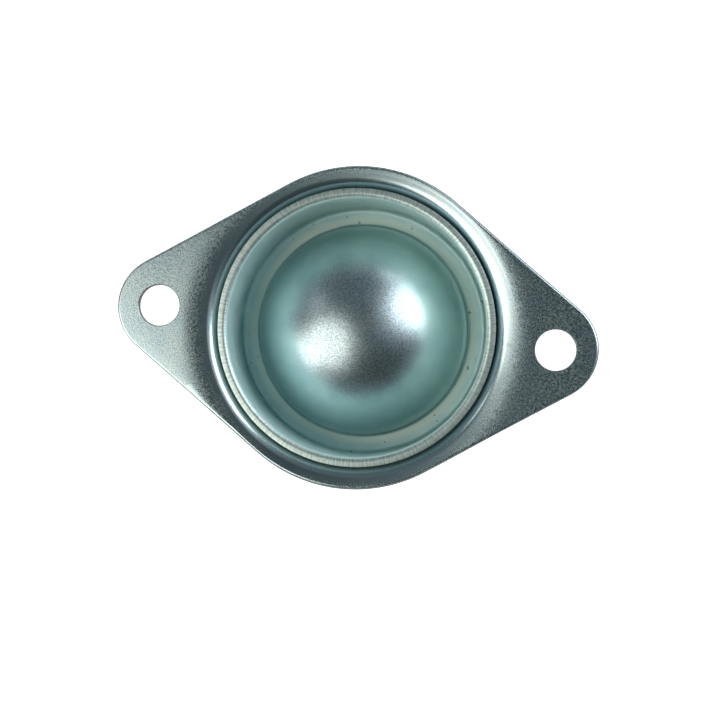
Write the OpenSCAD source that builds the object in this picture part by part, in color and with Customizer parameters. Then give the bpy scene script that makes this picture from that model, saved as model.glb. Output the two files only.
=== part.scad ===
// Ball transfer unit with a two-hole flange, seen in its own frame.
// The origin is the centre of the flange's seating face, +Z points out of that face,
// +X runs through the two mounting holes, and the load ball is on the -Z side.
// All lengths are in millimetres.

/* [Load ball] */
// Diameter of the load ball
ball_d = 25.4; // [20:0.1:32]
// Free space between the load ball and the lip that keeps it in
lip_gap = 0.4; // [0.2:0.05:0.8]
// How far the lip reaches in over the ball's widest circle
lip_hold = 1.1; // [0.6:0.1:2]

/* [Bearing balls] */
// Diameter of each small ball that the load ball runs on
bearing_d = 3.175; // [2.5:0.025:4]
// Running gap on each side of a bearing ball
run_gap = 0.03; // [0.02:0.01:0.08]

/* [Sheet] */
// Thickness of the steel sheet that both pressings are made of
sheet_t = 1.5; // [1:0.1:2]
// Gap between the two pressings where the cup is pressed into the housing
press_gap = 0.03; // [0.02:0.01:0.1]

/* [Bearing cup] */
// Radius of the crease between the dome and the floor round it
crease_r = 0.4; // [0.2:0.1:1]
// Width of the flat floor between the dome and the skirt
floor_w = 1.95; // [1:0.05:4]
// Radius between the floor and the skirt
skirt_fillet_r = 0.85; // [0.4:0.05:1.5]
// How far the skirt's cut edge lies below the seating face
rim_recess = 0.1; // [0:0.05:0.6]
// Radius of the skirt's inner edge
rim_round_r = 0.35; // [0.1:0.05:0.6]

/* [Housing] */
// Radius of the bend between the flange and the body, on the seating side
flange_bend_r = 2.35; // [2.2:0.05:3.5]
// Radius of the hollow corner between the shoulder and the crown
crown_fillet_r = 1; // [0.6:0.1:2]
// Room between the bearing balls' track and the start of the crown
crown_room = 0.2; // [0.1:0.05:0.6]

/* [Flange] */
// Distance between the two mounting holes
hole_pitch = 63.5; // [62:0.5:80]
// Diameter of each mounting hole, for an M6 or a quarter-inch screw
hole_d = 6.5; // [5:0.1:7]
// Depth of the rolled edge at the mouth of each hole
hole_roll = 0.25; // [0.1:0.05:0.5]
// Radius of the flange's rounded ends
ear_r = 8.1; // [7:0.1:10]
// How far the centre of an end's arc lies inwards of its hole
ear_shift = 1.35; // [0:0.05:2]
// Flat strip beside the body at the flange's narrow middle
side_flat = 1.135; // [0.5:0.005:3]
// How far the arc of each long side is centred off the middle, towards its own side
side_shift = 2.2; // [0:0.1:4]

/* [Hidden] */
$fn = 128;
zinc = [0.55, 0.64, 0.65];
zinc_inner = [0.45, 0.60, 0.60];
bright_steel = [0.80, 0.82, 0.84];

// Lengths that come from a root are rounded to the micron, so that neighbours meet.
function to_micron(length) = round(1000 * length) / 1000;

// Balls
ball_r = ball_d / 2;
bearing_r = bearing_d / 2;
track_r = ball_r + run_gap + bearing_r;
cup_in_r = track_r + bearing_r + run_gap;
cup_out_r = cup_in_r + sheet_t;
ball_z = -cup_out_r;

// Bearing cup
floor_z = ball_z - crease_r;
crease_x = cup_out_r + crease_r;
skirt_in_r = crease_x + floor_w + skirt_fillet_r;
skirt_out_r = skirt_in_r + sheet_t;
rim_z = -rim_recess;

// Housing
body_in_r = skirt_out_r + press_gap;
shoulder_bend_r = skirt_fillet_r + sheet_t + press_gap;
shoulder_x = body_in_r - shoulder_bend_r;
shoulder_z = floor_z - sheet_t - press_gap;
shoulder_bend_z = shoulder_z + shoulder_bend_r;
flange_bend_x = body_in_r + flange_bend_r;

// The crown's inside is an arc about crown_x on the ball's level. It starts upright
// beside the bearing balls' track and ends at the lip over the ball.
lip_r = ball_r - lip_hold;
lip_h = sqrt(pow(ball_r + lip_gap, 2) - pow(lip_r, 2));
crown_w = cup_in_r + crown_room - lip_r;
crown_r = to_micron((pow(crown_w, 2) + pow(lip_h, 2)) / (2 * crown_w));
crown_x = to_micron(cup_in_r + crown_room - crown_r);
fold_r = crown_fillet_r + sheet_t;
fold_z = shoulder_z - fold_r;
fold_x = to_micron(crown_x + sqrt(pow(crown_r + fold_r, 2) - pow(ball_z - fold_z, 2)));
lap_angle = 0.5;
crown_foot_angle = asin((ball_z - fold_z) / (crown_r + fold_r));

// Flange
ear_x = hole_pitch / 2 - ear_shift;
side_r = flange_bend_x + side_flat - side_shift;
tangent_run = sqrt(pow(ear_x, 2) + pow(side_shift, 2));
tangent_angle = acos((side_r - ear_r) / tangent_run) - atan2(side_shift, ear_x);

// Rows of bearing balls lie as rings round the cup, from its pole to the ball's widest circle.
// The first row past the pole takes six.
row_step = asin((bearing_d + run_gap) / track_r);
last_row_angle = 90.6;
rounding = 0.001;
row_count = 1 + floor(last_row_angle / row_step);

// A piece of bent sheet in section: an arc of thickness t about c, between two angles
// that are at most 90 degrees apart.
module bent(c, r, t, a, b) {
    far = 2 * (r + t);
    translate(c) intersection() {
        difference() {
            circle(r + t);
            circle(r);
        }
        polygon([[0, 0], far * [cos(a), sin(a)],
                 2 * far * [cos((a + b) / 2), sin((a + b) / 2)], far * [cos(b), sin(b)]]);
    }
}

// A straight piece of sheet in section, between two corners.
module straight(low, high) {
    translate(low) square(high - low);
}

module cup_section() {
    // dome
    bent([0, ball_z], cup_in_r, sheet_t, 0, 90);
    // crease
    bent([crease_x, ball_z], crease_r, sheet_t, 180, 270);
    // floor
    straight([crease_x, floor_z - sheet_t], [skirt_in_r - skirt_fillet_r, floor_z]);
    // corner of the skirt
    bent([skirt_in_r - skirt_fillet_r, floor_z + skirt_fillet_r], skirt_fillet_r, sheet_t, 270, 360);
    // skirt, with its inner edge rounded
    straight([skirt_in_r, floor_z + skirt_fillet_r], [skirt_out_r, rim_z - rim_round_r]);
    straight([skirt_in_r + rim_round_r, rim_z - rim_round_r], [skirt_out_r, rim_z]);
    intersection() {
        translate([skirt_in_r + rim_round_r, rim_z - rim_round_r]) circle(rim_round_r);
        straight([skirt_in_r, rim_z - rim_round_r], [skirt_in_r + rim_round_r, rim_z]);
    }
}

module housing_section() {
    // flat strip and bend of the flange
    straight([flange_bend_x, -sheet_t], [flange_bend_x + side_flat / 2, 0]);
    bent([flange_bend_x, -flange_bend_r], flange_bend_r - sheet_t, sheet_t, 90, 180);
    // body
    straight([body_in_r, shoulder_bend_z], [body_in_r + sheet_t, -flange_bend_r]);
    // shoulder
    bent([shoulder_x, shoulder_bend_z], shoulder_bend_r, sheet_t, 270, 360);
    straight([fold_x, shoulder_z - sheet_t], [shoulder_x, shoulder_z]);
    // hollow corner at the crown's foot
    bent([fold_x, fold_z], crown_fillet_r, sheet_t, 90, 180 - crown_foot_angle + lap_angle);
    // crown, cut off at the lip
    intersection() {
        bent([crown_x, ball_z], crown_r, sheet_t, 270, 360 - crown_foot_angle);
        straight([lip_r, ball_z - 2 * crown_r], [crown_x + 2 * crown_r, ball_z]);
    }
}

module flange_outline() {
    for (s = [-1, 1]) {
        translate([s * ear_x, 0]) circle(ear_r);
        translate([0, s * side_shift]) circle(side_r);
    }
    side_pt = [side_r * cos(tangent_angle), side_shift + side_r * sin(tangent_angle)];
    ear_pt = [ear_x + ear_r * cos(tangent_angle), ear_r * sin(tangent_angle)];
    polygon([side_pt, ear_pt, [ear_pt.x, -ear_pt.y], [side_pt.x, -side_pt.y],
             -side_pt, -ear_pt, [-ear_pt.x, ear_pt.y], [-side_pt.x, side_pt.y]]);
}

module housing() {
    color(zinc) difference() {
        union() {
            rotate_extrude() housing_section();
            difference() {
                translate([0, 0, -sheet_t]) linear_extrude(sheet_t) flange_outline();
                translate([0, 0, -2 * sheet_t]) cylinder(r = flange_bend_x, h = 3 * sheet_t);
            }
        }
        for (s = [-1, 1]) translate([s * hole_pitch / 2, 0, 0]) {
            translate([0, 0, -2 * sheet_t]) cylinder(d = hole_d, h = 3 * sheet_t);
            translate([0, 0, -hole_roll])
                cylinder(d1 = hole_d, d2 = hole_d + 4 * hole_roll, h = 2 * hole_roll);
        }
    }
}

module bearing_cup() {
    color(zinc_inner) rotate_extrude() cup_section();
}

module load_ball() {
    color(bright_steel) translate([0, 0, ball_z]) sphere(d = ball_d);
}

// Row k is a ring of balls at k - 1 steps from the pole, each ball at least a running gap
// from the next one.
module ball_row(k) {
    polar = (k - 1) * row_step;
    ring_r = track_r * sin(polar);
    count = k == 1 ? 1 : floor(180 / asin((bearing_r + run_gap / 2) / ring_r) + rounding);
    color(bright_steel) for (i = [0 : count - 1])
        rotate(i * 360 / count)
            translate([ring_r, 0, ball_z + track_r * cos(polar)])
                sphere(d = bearing_d, $fn = 48);
}

housing();
bearing_cup();
load_ball();
for (k = [1 : row_count])
    ball_row(k);
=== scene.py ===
# %% [markdown]
# # A ball transfer unit with a two-hole flange
#
# A ball transfer unit is a caster for flat loads. One big steel ball stands proud of a pressed
# housing and runs on a bed of small balls, so a box can be pushed over it in any direction.
# The unit is seen here from behind: the flat flange that screws to a table lies in front, and
# the cup that carries the small balls shows as a dome inside the housing's open back.
#
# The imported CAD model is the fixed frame. It says where each piece is and how it moves. This
# file dresses it: clean, evenly curved surfaces for the pieces that show, and a finish for each.

# %% Load the frame
import math

import bmesh
import bpy
from mathutils import Matrix, Vector


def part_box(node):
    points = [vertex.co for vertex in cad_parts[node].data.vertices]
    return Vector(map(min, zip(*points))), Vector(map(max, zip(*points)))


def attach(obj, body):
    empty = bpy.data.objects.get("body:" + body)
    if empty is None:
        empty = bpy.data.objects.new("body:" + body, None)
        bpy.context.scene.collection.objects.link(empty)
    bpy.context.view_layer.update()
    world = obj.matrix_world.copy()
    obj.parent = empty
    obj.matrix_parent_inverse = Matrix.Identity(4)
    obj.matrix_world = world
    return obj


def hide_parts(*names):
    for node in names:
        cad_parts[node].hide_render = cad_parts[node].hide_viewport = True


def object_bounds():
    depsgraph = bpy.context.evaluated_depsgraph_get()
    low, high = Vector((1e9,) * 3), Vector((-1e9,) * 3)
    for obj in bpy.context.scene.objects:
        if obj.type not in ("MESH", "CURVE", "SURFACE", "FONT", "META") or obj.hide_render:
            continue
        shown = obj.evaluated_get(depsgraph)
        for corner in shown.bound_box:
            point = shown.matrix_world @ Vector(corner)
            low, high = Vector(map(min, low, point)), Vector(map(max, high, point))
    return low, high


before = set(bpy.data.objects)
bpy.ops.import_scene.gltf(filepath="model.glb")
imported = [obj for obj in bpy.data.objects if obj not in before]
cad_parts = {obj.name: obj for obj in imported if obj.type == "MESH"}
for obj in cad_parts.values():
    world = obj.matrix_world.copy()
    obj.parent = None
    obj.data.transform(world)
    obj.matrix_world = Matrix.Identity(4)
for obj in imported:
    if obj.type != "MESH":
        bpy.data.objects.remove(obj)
cad_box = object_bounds()
print("nodes:", sorted(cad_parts))

# %% [markdown]
# Blender counts in metres and a small pressing is thought of in millimetres, so every size
# below is written in millimetres and multiplied by MM where it goes into Blender. The sizes
# are the ones that the CAD source uses, so each surface lands on its solid. Only the round of
# the skirt's cut edge (the RIM_ROUND_R and RIM_FALL lines) and the flange's gentle dip (the
# DISH and DROOP lines) are this file's own.

# %% Sizes in millimetres
MM = 0.001

SHEET = 1.5
PRESS_GAP = 0.03

BALL_R = 12.7
BALL_Z = -17.435
LIP_GAP = 0.4
LIP_HOLD = 1.1

CUP_IN_R = 15.935
DOME_R = CUP_IN_R + SHEET
CREASE_R = 0.4
CREASE_X = DOME_R + CREASE_R
FLOOR_Z = BALL_Z - CREASE_R
SKIRT_IN_R = 20.635
SKIRT_OUT_R = SKIRT_IN_R + SHEET
SKIRT_FILLET_R = 0.85
RIM_Z = -0.1
RIM_ROUND_R = 0.8
RIM_FALL = 0.16

BODY_IN_R = SKIRT_OUT_R + PRESS_GAP
SHOULDER_BEND_R = SKIRT_FILLET_R + SHEET + PRESS_GAP
SHOULDER_X = BODY_IN_R - SHOULDER_BEND_R
SHOULDER_Z = FLOOR_Z - SHEET - PRESS_GAP
FLANGE_BEND_R = 2.35
FLANGE_BEND_X = BODY_IN_R + FLANGE_BEND_R
DISH_END_R = 28.6
DISH_RATE = 0.0135
DROOP_START_R = 27.8
DROOP_SLOPE = 0.02

CROWN_X = 9.783
CROWN_R = 6.352
CROWN_FILLET_R = 1.0
LIP_R = BALL_R - LIP_HOLD
LIP_Z = BALL_Z - math.sqrt((BALL_R + LIP_GAP)**2 - LIP_R**2)
FOLD_R = CROWN_FILLET_R + SHEET
FOLD_Z = SHOULDER_Z - FOLD_R

HOLE_X = 31.75
HOLE_R = 3.25
EAR_R = 8.1
EAR_SHIFT = 1.35
EAR_X = HOLE_X - EAR_SHIFT
SIDE_FLAT = 1.135
SIDE_SHIFT = 2.2
SIDE_R = FLANGE_BEND_X + SIDE_FLAT - SIDE_SHIFT

low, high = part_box("housing")
print("the CAD housing is", [round(c / MM, 2) for c in high - low], "mm")
print("its ears should reach", EAR_X + EAR_R, "mm from the middle")

# %% [markdown]
# The camera comes early, because every finish is judged through it. It hangs 285 mm above the
# flange, looking almost straight down and a little from the right. Blender's camera looks
# down its own -Z, so three small turns are enough: a nod, a lean to the right, and a roll that
# tilts the line through the two ears.

# %% Camera
camera_data = bpy.data.cameras.new("camera")
camera_data.lens = 90.3
camera_data.sensor_width = 36.0
camera_data.clip_start = 0.01
camera = bpy.data.objects.new("camera", camera_data)
bpy.context.scene.collection.objects.link(camera)
camera.location = Vector((22.1, -5.4, 285.3)) * MM
camera.rotation_euler = [math.radians(angle) for angle in (0.546, 4.145, 6.559)]
bpy.context.scene.camera = camera
print("the camera is", round(camera.location.length, 3), "m from the flange's centre")

# %% [markdown]
# Both pressings are round, so each starts as a section: a thin outline in the XZ plane. A
# press bends sheet round a radius and leaves the rest straight. The same two moves draw the
# section here. A straight run extrudes the last vertex, and a bend spins it about the
# centre of its radius, which gives a true arc with as many steps as the curve needs.

# %% Two moves that draw a section
ALONG_Y = (0.0, 1.0, 0.0)
UP_Z = (0.0, 0.0, 1.0)


def let_go():
    """Leaves nothing selected, since an operator acts on all that is."""
    bpy.ops.object.select_all(action="DESELECT")


def start_section(name, x, z):
    """A new object in edit mode, with one selected vertex at (x, z)."""
    let_go()
    bpy.ops.mesh.primitive_plane_add(size=MM)
    section = bpy.context.object
    section.name = section.data.name = name
    bpy.ops.object.mode_set(mode="EDIT")
    bpy.ops.mesh.select_mode(type="VERT")
    bpy.ops.mesh.select_all(action="SELECT")
    bpy.ops.mesh.merge(type="CENTER")
    bpy.ops.transform.translate(value=(x * MM, 0, z * MM))
    return section


def last_vertex(section):
    """Where the section has got to, in millimetres."""
    mesh = bmesh.from_edit_mesh(section.data)
    end = [v.co for v in mesh.verts if v.select]
    return end[0].x / MM, end[0].z / MM


def run(section, x=None, z=None):
    """Extrudes the last vertex in a straight line to a new x, a new z, or both."""
    at_x, at_z = last_vertex(section)
    step = ((at_x if x is None else x) - at_x, 0, (at_z if z is None else z) - at_z)
    bpy.ops.mesh.extrude_region_move(
        TRANSFORM_OT_translate={"value": [s * MM for s in step]})


def bend(x, z, degrees, steps):
    """Spins the last vertex about (x, z). Clockwise is positive, with X right and Z up."""
    bpy.ops.mesh.spin(steps=steps, angle=-math.radians(degrees),
                      center=(x * MM, 0, z * MM), axis=ALONG_Y)


def turn_about_z(section, steps):
    """Spins the whole section once round, then closes the seam and the poles."""
    bpy.ops.mesh.select_all(action="SELECT")
    bpy.ops.mesh.spin(steps=steps, angle=math.tau, center=(0, 0, 0), axis=UP_Z)
    bpy.ops.mesh.select_all(action="SELECT")
    bpy.ops.mesh.remove_doubles(threshold=0.0005 * MM)
    bpy.ops.mesh.normals_make_consistent(inside=False)
    print(section.name, "has", len(bmesh.from_edit_mesh(section.data).faces), "faces")


# %% Helpers that finish a mesh
SMOOTH_BELOW = math.radians(35)


def back_to_object(piece):
    """Leaves edit mode with only this piece selected."""
    bpy.ops.object.mode_set(mode="OBJECT")
    let_go()
    piece.select_set(True)
    bpy.context.view_layer.objects.active = piece


def modify(piece, kind, **settings):
    """Adds a modifier with its settings and applies it."""
    modifier = piece.modifiers.new(kind.lower(), kind)
    for name, value in settings.items():
        setattr(modifier, name, value)
    bpy.ops.object.modifier_apply(modifier=modifier.name)


def smooth(piece):
    """Smooth shading with crisp edges, led by the largest faces."""
    bpy.ops.object.shade_smooth_by_angle(angle=SMOOTH_BELOW)
    modify(piece, "WEIGHTED_NORMAL", keep_sharp=True)
    print(piece.name, "has", len(piece.data.polygons), "faces when finished")


# %% [markdown]
# The bearing cup is one pressing. A hemisphere holds the small balls, and the sheet then
# folds back on itself as a flat floor and a straight skirt, whose cut edge shows as a bright
# ring just below the flange. Its closed section is drawn once round and spun about Z.

# %% Bearing cup: the side that shows
TURNS = 256

cup = start_section("cup_pressing", 0, 0)
bend(0, BALL_Z, 90, 48)
bend(CREASE_X, BALL_Z, -90, 8)
run(cup, x=SKIRT_IN_R - SKIRT_FILLET_R)
bend(SKIRT_IN_R - SKIRT_FILLET_R, FLOOR_Z + SKIRT_FILLET_R, -90, 10)
run(cup, z=RIM_Z - RIM_ROUND_R)
bend(SKIRT_IN_R + RIM_ROUND_R, RIM_Z - RIM_ROUND_R, 90, 6)
run(cup, x=SKIRT_OUT_R, z=RIM_Z - RIM_FALL)
print("rim reached at", last_vertex(cup))

# %% Bearing cup: the hidden side, back to the pole
run(cup, z=FLOOR_Z + SKIRT_FILLET_R)
bend(SKIRT_IN_R - SKIRT_FILLET_R, FLOOR_Z + SKIRT_FILLET_R, 90, 12)
run(cup, x=CREASE_X)
bend(CREASE_X, BALL_Z, 90, 10)
bend(0, BALL_Z, -90, 48)
print("track ends at", last_vertex(cup))
turn_about_z(cup, TURNS)
back_to_object(cup)
smooth(cup)

# %% [markdown]
# The housing is the second pressing: flange, round body, shoulder and the crown that holds
# the load ball in, all from one sheet. Only the face towards the cup is drawn. A Solidify
# modifier then gives the sheet its thickness on the far side, as on the real pressing, where
# both faces follow each other everywhere.

# %% Housing: how the flange dips towards the bend
def dish(radius):
    """How far the flange lies below its own plane at this radius, in millimetres."""
    droop = max(radius - DROOP_START_R, 0) * DROOP_SLOPE
    return DISH_RATE / 3 * max(DISH_END_R - radius, 0)**3 + droop


def dish_slope(radius):
    """The slope of that dip, in degrees."""
    return math.degrees(math.atan(DISH_RATE * max(DISH_END_R - radius, 0)**2))


print("at the bend the flange dips", round(dish(FLANGE_BEND_X), 3), "mm,",
      round(dish_slope(FLANGE_BEND_X), 1), "degrees")

# %% Housing: the face towards the cup, spun about Z
lip_angle = math.degrees(math.atan2(BALL_Z - LIP_Z, LIP_R - CROWN_X))
foot_angle = math.degrees(math.asin((BALL_Z - FOLD_Z) / (CROWN_R + FOLD_R)))
fold_x = CROWN_X + math.sqrt((CROWN_R + FOLD_R)**2 - (BALL_Z - FOLD_Z)**2)
flange_bend_z = -FLANGE_BEND_R - dish(FLANGE_BEND_X)

housing = start_section("housing_pressing", LIP_R, LIP_Z)
bend(CROWN_X, BALL_Z, foot_angle - lip_angle, 10)
bend(fold_x, FOLD_Z, 90 - foot_angle, 10)
run(housing, x=SHOULDER_X)
bend(SHOULDER_X, SHOULDER_Z + SHOULDER_BEND_R, -90, 12)
run(housing, z=flange_bend_z)
bend(FLANGE_BEND_X, flange_bend_z, 90 - dish_slope(FLANGE_BEND_X), 20)
print("the bend meets the flange at", last_vertex(housing))
FLANGE_TURNS = 360
turn_about_z(housing, FLANGE_TURNS)

# %% [markdown]
# The flange's outline is a round middle with an ear at each end, joined by straight tangents.
# The outer ring of vertices is extruded in ten steps, and each new vertex slides out along its
# own radius, the last ones as far as that outline. The steps are short near the bend, where
# the flange dips, and long on the ears. It dips there because a drawn sheet never turns from
# flat to round all at once.

# %% Housing: how far the flange reaches in any direction
tangent_run = math.hypot(EAR_X, SIDE_SHIFT)
tangent_angle = math.acos((SIDE_R - EAR_R) / tangent_run) - math.atan2(SIDE_SHIFT, EAR_X)
facing = Vector((math.cos(tangent_angle), math.sin(tangent_angle)))
side_end = Vector((0, SIDE_SHIFT)) + SIDE_R * facing
ear_end = Vector((EAR_X, 0)) + EAR_R * facing


def reach_of_circle(ray, centre, radius):
    """How far a ray from the middle runs before it leaves a circle."""
    along = ray.dot(centre)
    return along + math.sqrt(radius**2 - centre.length_squared + along**2)


def flange_reach(angle):
    """The flange's outline, as a distance from the middle in millimetres."""
    ray = Vector((abs(math.cos(angle)), abs(math.sin(angle))))
    slope = math.atan2(ray.y, ray.x)
    if slope > math.atan2(side_end.y, side_end.x):
        return reach_of_circle(ray, Vector((0, SIDE_SHIFT)), SIDE_R)
    if slope < math.atan2(ear_end.y, ear_end.x):
        return reach_of_circle(ray, Vector((EAR_X, 0)), EAR_R)
    return side_end.dot(facing) / ray.dot(facing)


print("reach along X and Y:", round(flange_reach(0), 3), round(flange_reach(math.pi / 2), 3))

# %% Housing: pick the outer ring of edges
bpy.ops.mesh.select_mode(type="EDGE")
mesh = bmesh.from_edit_mesh(housing.data)
for edge in mesh.edges:
    edge.select_set(edge.is_boundary and min(v.co.z for v in edge.verts) > SHOULDER_Z * MM)
mesh.select_flush_mode()
bmesh.update_edit_mesh(housing.data)
print(sum(edge.select for edge in mesh.edges), "edges picked")

# %% Housing: extrude the ring and slide it out to the outline
RING_SHARES = (0.04, 0.08, 0.12, 0.16, 0.2, 0.25, 0.33, 0.45, 0.65, 1.0)

for share in RING_SHARES:
    bpy.ops.mesh.extrude_edges_move()
    mesh = bmesh.from_edit_mesh(housing.data)
    ring = [v for v in mesh.verts if v.select]
    for vertex in ring:
        angle = math.atan2(vertex.co.y, vertex.co.x)
        reach = FLANGE_BEND_X + share * (flange_reach(angle) - FLANGE_BEND_X)
        vertex.co = Vector((reach * math.cos(angle), reach * math.sin(angle), -dish(reach))) * MM
    bmesh.update_edit_mesh(housing.data)
print(len(ring), "vertices in each ring slid out towards the outline")

# %% [markdown]
# Solidify pushes the new face against the normals, so the normals have to point towards the
# cup. One face of the flange tells which way they point.

# %% Housing: give the sheet its thickness
bpy.ops.mesh.select_mode(type="FACE")
bpy.ops.mesh.select_all(action="SELECT")
bpy.ops.mesh.normals_make_consistent(inside=False)
mesh = bmesh.from_edit_mesh(housing.data)
flat = max(mesh.faces, key=lambda face: face.calc_center_median().length_squared)
if flat.normal.z < 0:
    bpy.ops.mesh.flip_normals()
    print("normals turned over")
back_to_object(housing)
modify(housing, "SOLIDIFY", thickness=SHEET * MM, offset=-1.0,
       use_even_offset=True, use_quality_normals=True)
print("sheet thickness given:", SHEET, "mm")

# %% [markdown]
# A blanking die leaves a rolled edge, never a sharp one. A Bevel modifier rounds the outline
# and the lip. The holes are cut afterwards with a drill that flares out at both faces of the
# sheet, so they get the same rolled mouth. Its flare starts at a clear angle and not level
# with the sheet, because two faces that nearly touch leave slivers when one cuts the other.
# The ears droop a little, so each drill is tilted to stand square to its ear.

# %% Housing: roll the cut edges
EDGE_ROLL = 0.42
modify(housing, "BEVEL", width=EDGE_ROLL * MM, segments=4, limit_method="ANGLE",
       angle_limit=math.radians(60), use_clamp_overlap=False)
modify(housing, "TRIANGULATE")
print(len(housing.data.polygons), "triangles after the edges are rolled")

# %% Housing: drill the two holes
HOLE_ROLL = 0.35
FLARE_START = 35
FLARE_STEPS = 5
CLEAR = 0.002
PAST = 1.0
HOLE_TURNS = 96


def drill():
    """A drill along Z with flared ends, none of whose corners lies exactly on a face."""
    flare_x = HOLE_R + HOLE_ROLL
    flare_depth = HOLE_ROLL * math.cos(math.radians(FLARE_START))
    flare_turn = FLARE_START - 90
    bit = start_section("drill", 0, PAST)
    run(bit, x=flare_x - HOLE_ROLL * math.sin(math.radians(FLARE_START)))
    run(bit, z=CLEAR)
    bend(flare_x, -flare_depth, flare_turn + 1, FLARE_STEPS)
    run(bit, z=flare_depth - SHEET)
    bend(flare_x, flare_depth - SHEET, flare_turn - 2, FLARE_STEPS)
    run(bit, z=-SHEET - PAST)
    run(bit, x=0)
    turn_about_z(bit, HOLE_TURNS)
    bpy.ops.object.mode_set(mode="OBJECT")
    return bit


for side in (-1, 1):
    bit = drill()
    place_in_ear = Matrix.Translation(Vector((side * HOLE_X, 0, -dish(HOLE_X))) * MM)
    square_to_ear = Matrix.Rotation(side * math.atan(DROOP_SLOPE), 4, "Y")
    bit.data.transform(place_in_ear @ square_to_ear)
    let_go()
    housing.select_set(True)
    bpy.context.view_layer.objects.active = housing
    modify(housing, "BOOLEAN", object=bit, operation="DIFFERENCE", solver="EXACT")
    bpy.data.objects.remove(bit)
smooth(housing)

# %% [markdown]
# The load ball has no seam and no pole. A cube that is divided evenly and cast onto a
# sphere has neither, so its shading runs evenly all over.

# %% Load ball
let_go()
bpy.ops.mesh.primitive_cube_add(size=2 * BALL_R * MM)
ball = bpy.context.object
ball.name = ball.data.name = "ball_ground"
modify(ball, "SUBSURF", levels=6, render_levels=6, subdivision_type="SIMPLE")
modify(ball, "CAST", factor=1.0, radius=0.0, size=BALL_R * MM, use_radius_as_size=False)
bpy.ops.object.mode_set(mode="EDIT")
bpy.ops.mesh.select_all(action="SELECT")
bpy.ops.transform.translate(value=(0, 0, BALL_Z * MM))
back_to_object(ball)
bpy.ops.object.shade_smooth()
radii = [(v.co - Vector((0, 0, BALL_Z * MM))).length / MM for v in ball.data.vertices]
print("ball radius between", round(min(radii), 4), "and", round(max(radii), 4))

# %% [markdown]
# Each dressed piece rides on its CAD body, stands for its CAD node and names the slot of the
# record that its finish belongs to. The 137 bearing balls are hidden in the cup, so their
# CAD nodes stay and only get a finish.

# %% Tie the pieces to the frame
for piece, node, body, slot in ((housing, "housing", "housing", "zinc_housing"),
                                (cup, "bearing_cup", "housing", "zinc_cup"),
                                (ball, "load_ball", "load_ball", "polished_steel")):
    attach(piece, body)
    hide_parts(node)
    print(piece.name, "stands for", node, "and rides on", body)

# %% [markdown]
# A finish is a small calculation on each point of the surface. Writing it as Python
# expressions keeps it readable. Wire wraps one output of a node, and each operator on it
# adds the Math node that does the sum. Finish holds a material and adds any other node.

# %% Shader maths as expressions
class Wire:
    """One output of a shader node, with operators that add Math nodes."""

    def __init__(self, finish, socket):
        self.finish, self.socket = finish, socket

    def sum(self, operation, *values):
        return self.finish.node("ShaderNodeMath", {"operation": operation},
                                **{str(i): v for i, v in enumerate(values)})

    def __add__(self, other):
        return self.sum("ADD", self, other)

    def __sub__(self, other):
        return self.sum("SUBTRACT", self, other)

    def __rsub__(self, other):
        return self.sum("SUBTRACT", other, self)

    def __mul__(self, other):
        return self.sum("MULTIPLY", self, other)

    def __truediv__(self, other):
        return self.sum("DIVIDE", self, other)

    def __pow__(self, other):
        return self.sum("POWER", self, other)

    __radd__ = __add__
    __rmul__ = __mul__


class Finish:
    """A new material and the one way that this file adds nodes to it."""

    def __init__(self, name):
        self.material = bpy.data.materials.new(name)
        self.material.use_nodes = True
        self.tree = self.material.node_tree
        self.shader = self.tree.nodes["Principled BSDF"]

    def node(self, kind, settings=None, output=0, **inputs):
        """Adds a node, sets it up, fills its sockets, and returns one of its outputs."""
        node = self.tree.nodes.new(kind)
        for name, value in (settings or {}).items():
            setattr(node, name, value)
        for name, value in inputs.items():
            key = int(name) if name.isdigit() else name.replace("_", " ")
            self.plug(node.inputs[key], value)
        return Wire(self, node.outputs[output])

    def plug(self, socket, value):
        """Links a wire, or writes a number or colour."""
        if isinstance(value, Wire):
            self.tree.links.new(value.socket, socket)
        else:
            socket.default_value = value

    def set(self, **inputs):
        """Fills sockets of the Principled shader."""
        for name, value in inputs.items():
            self.plug(self.shader.inputs[name.replace("_", " ")], value)


# %% Patterns that several finishes share
def place(finish):
    """A point of the piece, from its own coordinates in metres."""
    return finish.node("ShaderNodeTexCoord", output="Object")


def along_axes(finish):
    """How far the point lies along X, Y and Z, in millimetres."""
    point = place(finish)
    return [finish.node("ShaderNodeSeparateXYZ", output=axis, Vector=point) / MM
            for axis in ("X", "Y", "Z")]


def noise(finish, size, detail=2.0, rough=0.5):
    """Cloudy noise whose patches are about this many millimetres wide."""
    return finish.node("ShaderNodeTexNoise", Vector=place(finish), Scale=1 / (size * MM),
                       Detail=detail, Roughness=rough)


def between(finish, value, low, high, start=0.0, end=1.0):
    """Goes smoothly from start to end while value goes from low to high."""
    return finish.node("ShaderNodeMapRange", {"interpolation_type": "SMOOTHSTEP"},
                       Value=value, **{"1": low, "2": high, "3": start, "4": end})


def mix(finish, share, first, second):
    """The first colour, turning into the second as share goes from 0 to 1."""
    return finish.node("ShaderNodeMix", {"data_type": "RGBA"}, 2,
                       **{"0": share, "6": first, "7": second})


def bump(finish, height, depth):
    """A bump as deep as this many millimetres where the height is 1."""
    return finish.node("ShaderNodeBump", Height=height, Distance=depth * MM, Strength=1.0)


def rgb(red, green, blue):
    """A colour with full alpha."""
    return (red, green, blue, 1.0)
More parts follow.
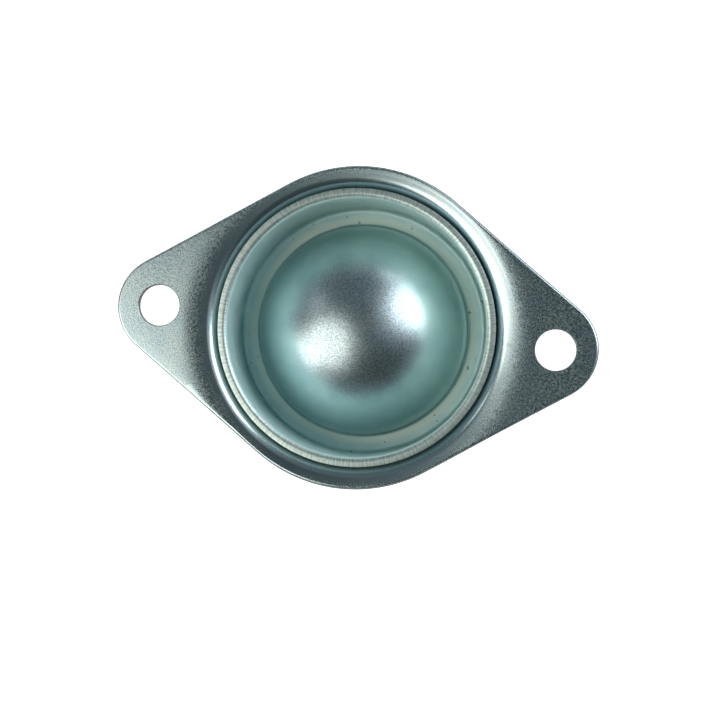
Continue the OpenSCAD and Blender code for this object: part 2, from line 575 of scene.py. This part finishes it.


# %% [markdown]
# Both pressings are zinc plated with a clear blue passivate. Plating follows the grain of
# the rolled sheet: a fine orange peel about a quarter of a millimetre wide, with cloudy
# patches where the bath left it thicker. On a metal the base colour is the colour of its
# reflections, so the blue cast goes there. The grain changes the colour, the roughness and
# the bump together, so it shows as dark specks in a bright reflection and as light specks
# in a dark one. The flange's steep cut sides are painted near-black as painted shade, and
# painted shade also darkens the steep wall of the groove beside the cup.

# %% Zinc on the housing
def zinc_housing():
    """Matte zinc with a fine grain, which the bend has smoothed, with painted shade on the cut
    sides and in the groove.
    """
    zinc = Finish("zinc_housing")
    x, y, z = along_axes(zinc)
    radius = (x * x + y * y)**0.5
    normal = zinc.node("ShaderNodeTexCoord", output="Normal")
    upright = zinc.node("ShaderNodeSeparateXYZ", output="Z", Vector=normal)
    grain = noise(zinc, 0.22)
    patch = noise(zinc, 6.0, detail=3.0)
    flat = between(zinc, radius + patch * 2, 24.8, 27.0)

    cloudy = (flat * 0.8 + 0.2) * between(zinc, patch, 0.35, 0.65)
    colour = mix(zinc, cloudy, rgb(0.44, 0.54, 0.58), rgb(0.51, 0.59, 0.58))
    specks = flat * between(zinc, grain, 0.34, 0.64, 1.0, 0.0)
    colour = mix(zinc, specks, colour, rgb(0.34, 0.44, 0.49))
    # Painted shade: the flange's steep cut sides are painted near-black.
    painted_dark_sides = (between(zinc, upright * upright, 0.3, 0.75, 1.0, 0.0)
               * between(zinc, radius, 25.0, 25.3))
    colour = mix(zinc, painted_dark_sides, colour, rgb(0.10, 0.11, 0.11))
    # Painted shade darkens the steep groove wall beside the cup.
    groove_shade = (between(zinc, upright, 0.45, 0.8, 1.0, 0.0) * between(zinc, z, -2.9, -2.5)
              * between(zinc, radius, 24.3, 24.6, 1.0, 0.0))
    colour = mix(zinc, groove_shade * 0.6, colour, rgb(0.10, 0.15, 0.16))
    zinc.set(Base_Color=colour, Metallic=1.0,
             Roughness=flat * between(zinc, grain, 0.36, 0.7) * 0.13 + 0.22,
             Normal=bump(zinc, grain * (0.3 + flat), 0.009))
    return zinc.material


housing.data.materials.clear()
housing.data.materials.append(zinc_housing())
print("finish:", housing.data.materials[0].name)

# %% [markdown]
# The cup is plated like the housing and has had a harder life. Drawing has polished it, and
# the bath has left it teal. On top of the dome the plating is thin and the grey grain shows.
# The trench floor is painted pale: its cream plating, brightened with a painted highlight of
# the light that the wall throws onto it. Painted shade draws a dark line in the crease, a few
# dark specks lie on the floor, and the skirt's cut edge keeps the die's short radial marks.
# All of these lie at a certain radius or height, so each is a mask made from the point's own
# place on the piece.

# %% Zinc on the cup
def zinc_cup():
    """Zinc that the press has smoothed, with its grain left on top of the dome."""
    zinc = Finish("zinc_cup")
    x, y, z = along_axes(zinc)
    radius = (x * x + y * y)**0.5
    grain = noise(zinc, 0.24, detail=1.0)
    patch = noise(zinc, 5.0, detail=3.0)

    raw = between(zinc, radius + patch * 3, 9.0, 14.5, 1.0, 0.0)
    trench = between(zinc, radius, 17.45, 17.7)
    low = between(zinc, z, -17.2, -16.6, 1.0, 0.0)
    # The pale floor band: its cream plating plus painted light from the wall.
    pale_floor_and_painted_light = between(zinc, radius, 17.9, 18.1) * between(zinc, radius, 18.4, 19.6, 1.0, 0.0) * low
    # Painted shade: a dark line in the crease between dome and floor.
    painted_crease_shade = between(zinc, radius, 17.3, 17.5) * between(zinc, radius, 17.8, 18.0, 1.0, 0.0)
    spots = between(zinc, noise(zinc, 1.1, detail=1.0), 0.73, 0.76) * low * trench

    teal = mix(zinc, between(zinc, patch, 0.35, 0.65), rgb(0.55, 0.74, 0.75),
               rgb(0.62, 0.80, 0.79))
    bare = mix(zinc, between(zinc, grain, 0.36, 0.64), rgb(0.25, 0.32, 0.36),
               rgb(0.45, 0.52, 0.55))
    colour = mix(zinc, raw, teal, bare)
    # Paints the floor band's painted light, then the crease's painted shade.
    colour = mix(zinc, pale_floor_and_painted_light * 0.65, colour, rgb(0.86, 0.92, 0.82))
    colour = mix(zinc, painted_crease_shade * 0.5, colour, rgb(0.16, 0.22, 0.21))

    cut = between(zinc, z, -0.5, -0.4) * between(zinc, radius, 20.75, 20.9)
    around = zinc.node("ShaderNodeMath", {"operation": "ARCTAN2"}, **{"0": y, "1": x})
    marks = zinc.node("ShaderNodeCombineXYZ", X=around * 20, Y=radius * 0.12)
    marks = zinc.node("ShaderNodeTexNoise", Vector=marks, Scale=3.5, Detail=2.0, Roughness=0.6)
    cut_tint = mix(zinc, between(zinc, marks, 0.36, 0.60), rgb(0.34, 0.43, 0.42),
                   rgb(0.52, 0.61, 0.59))
    colour = mix(zinc, cut, colour, cut_tint)
    colour = mix(zinc, spots * 0.7, colour, rgb(0.13, 0.15, 0.11))

    zinc.set(Base_Color=colour,
             Metallic=0.94 + raw * 0.06 - trench * (1 - low * 0.5) * 0.5 + cut,
             Roughness=0.38 - raw * 0.05 + trench * 0.1 - cut * 0.04,
             Normal=bump(zinc, grain * (0.1 + raw), 0.018))
    return zinc.material


cup.data.materials.clear()
cup.data.materials.append(zinc_cup())
print("finish:", cup.data.materials[0].name)

# %% [markdown]
# The balls are hardened bearing steel, ground and lapped. They are nearly mirrors. Faint
# scratches in a very fine noise keep the mirror from looking like liquid.

# %% Steel for the balls
def ball_steel(name, tint, shine):
    """Lapped steel with hairline scratches."""
    steel = Finish(name)
    haze = noise(steel, 3.0, detail=4.0)
    lines = noise(steel, 0.4, detail=3.0, rough=0.7)
    dull_tint = [0.94 * part for part in tint]
    steel.set(Base_Color=mix(steel, haze, rgb(*dull_tint), rgb(*tint)),
              Metallic=1.0, Roughness=between(steel, haze, 0.3, 0.7, shine, shine + 0.05),
              Normal=bump(steel, lines, 0.0015))
    return steel.material


ball.data.materials.clear()
ball.data.materials.append(ball_steel("polished_steel", (0.80, 0.80, 0.79), 0.07))
bearing_steel = ball_steel("bearing_steel", (0.74, 0.74, 0.73), 0.10)
rows = [node for name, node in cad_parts.items() if name.startswith("ball_row")]
for row in rows:
    for slot in row.material_slots:
        slot.material = bearing_steel
print(len(rows), "rows of bearing balls got their finish")

# %% [markdown]
# Metal shows what is round it, so the light is laid out by what the dome reflects. A broad
# warm softbox stands to the lower left, with a lower one under it, and a cool one to the
# right. Two small ones brighten the left and the top of the bend.

# %% Softboxes
AIM = Vector((0, 0, BALL_Z * MM / 2))
LAMP_DISTANCE = 0.6


def direction(off_zenith, azimuth):
    """A direction by its angle off the zenith and round Z, in degrees."""
    tilt, round_z = math.radians(off_zenith), math.radians(azimuth)
    return Vector((math.sin(tilt) * math.cos(round_z), math.sin(tilt) * math.sin(round_z),
                   math.cos(tilt)))


def softbox(name, off_zenith, azimuth, width, radiance, colour):
    """A round lamp in this direction, whose surface has this brightness."""
    lamp = bpy.data.lights.new(name, "AREA")
    lamp.shape = "DISK"
    lamp.size = width
    area = math.pi * width**2 / 4
    lamp.energy = radiance * math.pi * area
    lamp.color = colour
    holder = bpy.data.objects.new(name, lamp)
    bpy.context.scene.collection.objects.link(holder)
    out = direction(off_zenith, azimuth)
    holder.location = AIM + out * LAMP_DISTANCE
    holder.rotation_euler = (-out).to_track_quat("-Z", "Y").to_euler()
    print(name, "at", [round(c, 3) for c in holder.location], "with", round(lamp.energy, 2), "W")


softbox("key_softbox", 39, -150, 0.55, 2.8, (1.0, 0.945, 0.84))
softbox("low_key_softbox", 68, -150, 0.28, 2.8, (0.98, 1.0, 0.95))
softbox("cool_softbox", 61, 31, 0.46, 4.1, (0.96, 0.98, 1.0))
softbox("left_softbox", 56, 155, 0.14, 1.5, (1.0, 0.99, 0.96))
softbox("top_softbox", 74, 68, 0.22, 1.9, (0.95, 0.98, 1.0))

# %% [markdown]
# The rest of the room is a dim grey. A flat face mirrors one small part of it, so a few soft
# patches decide how bright each ear looks: a pale one for the left ear, dark ones for the
# right ear and the flange's lower edge, and a halo beside the cool softbox, which lets its
# reflection fade out along the bend. The walls are bright near the floor.

# %% Room light with soft patches
world = bpy.data.worlds.new("room")
bpy.context.scene.world = world
world.use_nodes = True


class Room(Finish):
    """The world's nodes, added in the same way as a finish's."""

    def __init__(self, world):
        self.tree = world.node_tree
        self.shader = self.tree.nodes["Background"]


room = Room(world)
toward = room.node("ShaderNodeTexCoord", output="Generated")


def patch_round(off_zenith, azimuth, inner, outer):
    """One within the inner angle of this direction, falling to nothing at the outer one."""
    facing = room.node("ShaderNodeVectorMath", {"operation": "DOT_PRODUCT"}, output="Value",
                       **{"0": toward, "1": direction(off_zenith, azimuth)})
    return between(room, facing, math.cos(math.radians(outer)), math.cos(math.radians(inner)))


colour = rgb(0.12, 0.165, 0.175)
for off_zenith, azimuth, inner, outer, patch_colour in (
        (14, 172, 3, 13, rgb(0.43, 0.46, 0.47)),
        (58, -62, 15, 50, rgb(0.045, 0.06, 0.06)),
        (13, 52, 11, 26, rgb(0.035, 0.05, 0.055)),
        (41, 28, 6, 27, rgb(0.55, 0.60, 0.62))):
    colour = mix(room, patch_round(off_zenith, azimuth, inner, outer), colour, patch_colour)
upward = room.node("ShaderNodeSeparateXYZ", output="Z", Vector=toward)
colour = mix(room, between(room, upward, 0.14, 0.36, 1.0, 0.0), colour, rgb(0.85, 0.88, 0.88))
room.set(Color=colour, Strength=1.0)
print("room light set, with", len(room.tree.nodes), "nodes")

# %% [markdown]
# The floor is a plain white sheet just under the ball. To the camera it glows a little, so
# that it stays white, and a share of plain diffuse keeps the object's shadow on it. Metal
# sees a weaker glow, or the body's side would mirror a lamp. From below the sheet is
# see-through, since the load ball can only be looked at from there.

# %% Floor
FLOOR_WIDTH = 4
FLOOR_GAP = 0.2 * MM

let_go()
bpy.ops.mesh.primitive_plane_add(size=FLOOR_WIDTH)
floor = bpy.context.object
floor.name = "floor"
bpy.ops.object.mode_set(mode="EDIT")
bpy.ops.transform.translate(value=(0, 0, cad_box[0][2] - FLOOR_GAP))
back_to_object(floor)
print("floor at", round(cad_box[0][2] / MM, 2), "mm")

# %% Paper on the floor
paper = Finish("paper")
paper.set(Base_Color=rgb(0.8, 0.8, 0.8), Roughness=1.0, Specular_IOR_Level=0.0)
plain = Wire(paper, paper.shader.outputs["BSDF"])
seen = paper.node("ShaderNodeLightPath", output="Is Camera Ray")
mirrored = paper.node("ShaderNodeLightPath", output="Is Glossy Ray")
passed = paper.node("ShaderNodeLightPath", output="Is Transmission Ray")
glow = paper.node("ShaderNodeEmission", Color=rgb(1, 1, 1), Strength=seen * 0.5 + 0.3)
glowing = paper.node("ShaderNodeAddShader", **{"0": glow, "1": plain})
from_above = paper.node("ShaderNodeMixShader", Fac=seen + mirrored + passed,
                        **{"1": plain, "2": glowing})
from_below = paper.node("ShaderNodeNewGeometry", output="Backfacing")
one_sided = paper.node("ShaderNodeMixShader", Fac=from_below,
                       **{"1": from_above, "2": paper.node("ShaderNodeBsdfTransparent")})
paper.plug(paper.tree.nodes["Material Output"].inputs["Surface"], one_sided)
floor.data.materials.append(paper.material)
print("paper:", len(paper.tree.nodes), "nodes")

# %% [markdown]
# The standard view transform shows each colour about as it is written.

bpy.context.scene.view_settings.view_transform = "Standard"
